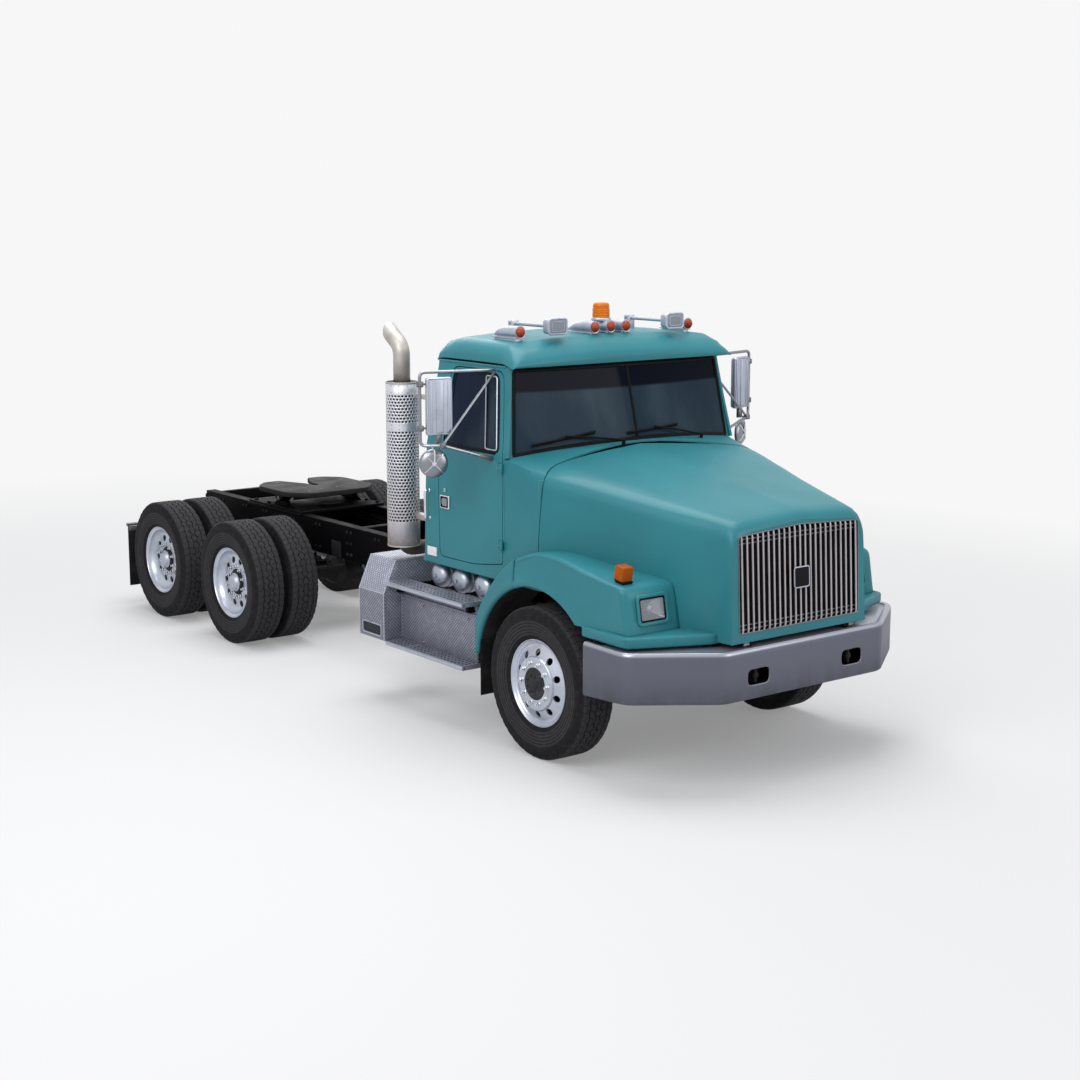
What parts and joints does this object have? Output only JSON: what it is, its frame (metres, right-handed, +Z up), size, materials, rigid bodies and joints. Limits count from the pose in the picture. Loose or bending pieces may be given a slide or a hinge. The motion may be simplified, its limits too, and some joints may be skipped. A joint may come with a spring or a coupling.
{
  "type": "semi truck tractor unit",
  "caption": "Conventional day-cab tractor unit with tandem drive axles, vertical-bar grille, tall exhaust stack and fifth wheel",
  "frame": {"origin": "on the floor, at the middle of the truck's overall length and width", "axes": "+X is the truck's left side, +Y points to the rear, +Z is up; the truck faces -Y"},
  "size_m": [3.106, 7.625, 3.008],
  "materials": {
    "paint": "semi-gloss teal enamel",
    "frame_black": "satin black chassis paint, dusty",
    "bumper_metal": "grey brushed metal with a bright rolled edge",
    "chrome": "polished",
    "stack_metal": "polished perforated steel, browned low down",
    "aluminium": "polished",
    "tread_plate": "raised tread plate",
    "tyre": "worn rubber",
    "rubber": "matt sheet rubber",
    "glass": "dark tinted",
    "lamp": "clear ribbed lens over a reflector",
    "amber": "amber lens",
    "tail_red": "red lens",
    "interior": "grained dark plastic",
    "seat_cloth": "woven dark grey cloth",
    "cast": "painted casting"
  },
  "bodies": {
    "chassis": {"frame_rails": "frame_black", "crossmembers": "frame_black", "front_bumper": "bumper_metal", "engine_block": "cast", "drive_line": "cast", "radiator": "frame_black", "front_axle": "cast", "leaf_springs": "frame_black", "drive_axles": "cast", "quarter_fenders": "paint", "mudflaps": "rubber", "mudflap_hangers": "chrome", "cab_floor": "paint", "cab_sides": "paint", "cab_rear_wall": "paint", "cowl": "paint", "cab_roof": "paint", "cab_windows": "glass", "roof_lamps": "amber", "dashboard": "interior", "steering_wheel": "interior", "seats": "seat_cloth", "cab_steps": "tread_plate", "battery_box": "tread_plate", "fuel_tank": "aluminium", "air_tanks": "frame_black", "exhaust_stack": "stack_metal", "heat_shield": "stack_metal", "tail_lamps": "tail_red", "fifth_wheel_base": "frame_black"},
    "hood": {"hood": "paint", "fenders": "paint", "grille": "chrome", "front_lamps": "lamp"},
    "door_left": {"door_left": "paint", "door_glass_left": "glass", "mirror_left": "chrome"},
    "knuckle_left": {"knuckle_left": "cast"},
    "front_wheel_left": {"front_wheel_left": "aluminium", "front_tyre_left": "tyre"},
    "forward_wheels_left": {"forward_wheels_left": "aluminium", "forward_tyres_left": "tyre"},
    "rearward_wheels_left": {"rearward_wheels_left": "aluminium", "rearward_tyres_left": "tyre"},
    "door_right": {"door_right": "paint", "door_glass_right": "glass", "mirror_right": "chrome"},
    "knuckle_right": {"knuckle_right": "cast"},
    "front_wheel_right": {"front_wheel_right": "aluminium", "front_tyre_right": "tyre"},
    "forward_wheels_right": {"forward_wheels_right": "aluminium", "forward_tyres_right": "tyre"},
    "rearward_wheels_right": {"rearward_wheels_right": "aluminium", "rearward_tyres_right": "tyre"},
    "tie_rod": {"tie_rod": "cast"},
    "fifth_wheel_plate": {"fifth_wheel_plate": "frame_black"}
  },
  "joints": [
    {"name": "hood_tilt", "type": "hinge", "parent": "chassis", "child": "hood", "pos_m": [0, -3.7475, 0.945], "axis": [1, 0, 0], "range_deg": [0, 70]},
    {"name": "door_left_hinge", "type": "hinge", "parent": "chassis", "child": "door_left", "pos_m": [1.068, -1.9275, 1.6], "axis": [0, 0, -1], "range_deg": [0, 70]},
    {"name": "steer_left", "type": "hinge", "parent": "chassis", "child": "knuckle_left", "pos_m": [0.9, -2.4375, 0.51], "axis": [0, 0, 1], "range_deg": [-35, 35]},
    {"name": "front_wheel_left_spin", "type": "hinge", "parent": "knuckle_left", "child": "front_wheel_left", "pos_m": [1.035, -2.4375, 0.525], "axis": [1, 0, 0], "continuous": true},
    {"name": "forward_wheels_left_spin", "type": "hinge", "parent": "chassis", "child": "forward_wheels_left", "pos_m": [0.905, 1.8285, 0.525], "axis": [1, 0, 0], "continuous": true},
    {"name": "rearward_wheels_left_spin", "type": "hinge", "parent": "chassis", "child": "rearward_wheels_left", "pos_m": [0.905, 3.1405, 0.525], "axis": [1, 0, 0], "continuous": true},
    {"name": "door_right_hinge", "type": "hinge", "parent": "chassis", "child": "door_right", "pos_m": [-1.068, -1.9275, 1.6], "axis": [0, 0, 1], "range_deg": [0, 70]},
    {"name": "steer_right", "type": "hinge", "parent": "chassis", "child": "knuckle_right", "pos_m": [-0.9, -2.4375, 0.51], "axis": [0, 0, 1], "range_deg": [-35, 35]},
    {"name": "front_wheel_right_spin", "type": "hinge", "parent": "knuckle_right", "child": "front_wheel_right", "pos_m": [-1.035, -2.4375, 0.525], "axis": [1, 0, 0], "continuous": true},
    {"name": "forward_wheels_right_spin", "type": "hinge", "parent": "chassis", "child": "forward_wheels_right", "pos_m": [-0.905, 1.8285, 0.525], "axis": [1, 0, 0], "continuous": true},
    {"name": "rearward_wheels_right_spin", "type": "hinge", "parent": "chassis", "child": "rearward_wheels_right", "pos_m": [-0.905, 3.1405, 0.525], "axis": [1, 0, 0], "continuous": true},
    {"name": "tie_rod_pivot", "type": "hinge", "parent": "knuckle_left", "child": "tie_rod", "pos_m": [0.9, -2.2475, 0.372], "axis": [0, 0, 1], "range_deg": [-35, 35]},
    {"name": "fifth_wheel_rock", "type": "hinge", "parent": "chassis", "child": "fifth_wheel_plate", "pos_m": [0, 2.3325, 1.12], "axis": [1, 0, 0], "range_deg": [-12, 12]}
  ],
  "couplings": [
    {"joint": "steer_right", "follows": "steer_left", "ratio": 1},
    {"joint": "tie_rod_pivot", "follows": "steer_left", "ratio": -1}
  ]
}
